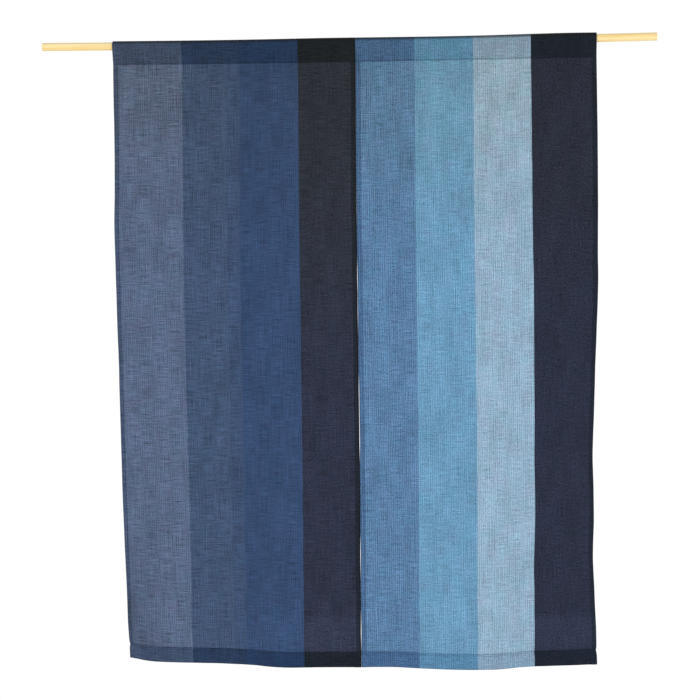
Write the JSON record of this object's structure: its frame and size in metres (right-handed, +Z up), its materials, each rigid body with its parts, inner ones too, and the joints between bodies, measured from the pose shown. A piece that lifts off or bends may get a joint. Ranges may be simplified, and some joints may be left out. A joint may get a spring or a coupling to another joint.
{
  "type": "noren curtain and rod",
  "caption": "Split doorway curtain of two woven striped panels, sewn together at the top of the slit, hanging by a pocket on a thin round wooden rod.",
  "frame": {"origin": "midway between the centres of the rod's two cut ends, where whatever holds the rod carries it", "axes": "+X to the right along the rod as seen from the front, +Z up, the front of the cloth faces -Y"},
  "size_m": [1.078, 0.0841, 1.0989],
  "materials": {
    "rod_wood": "pale yellow wood, satin, fine grain along the rod",
    "cloth_left": "slubby plain weave in grey-blue, two dark blues and near-black warp stripes, matt",
    "cloth_right": "slubby plain weave in mid blue, sky blue, pale blue and near-black warp stripes, matt"
  },
  "bodies": {
    "root": {"rod": "rod_wood", "panel_left": "cloth_left", "panel_right": "cloth_right"}
  },
  "joints": []
}
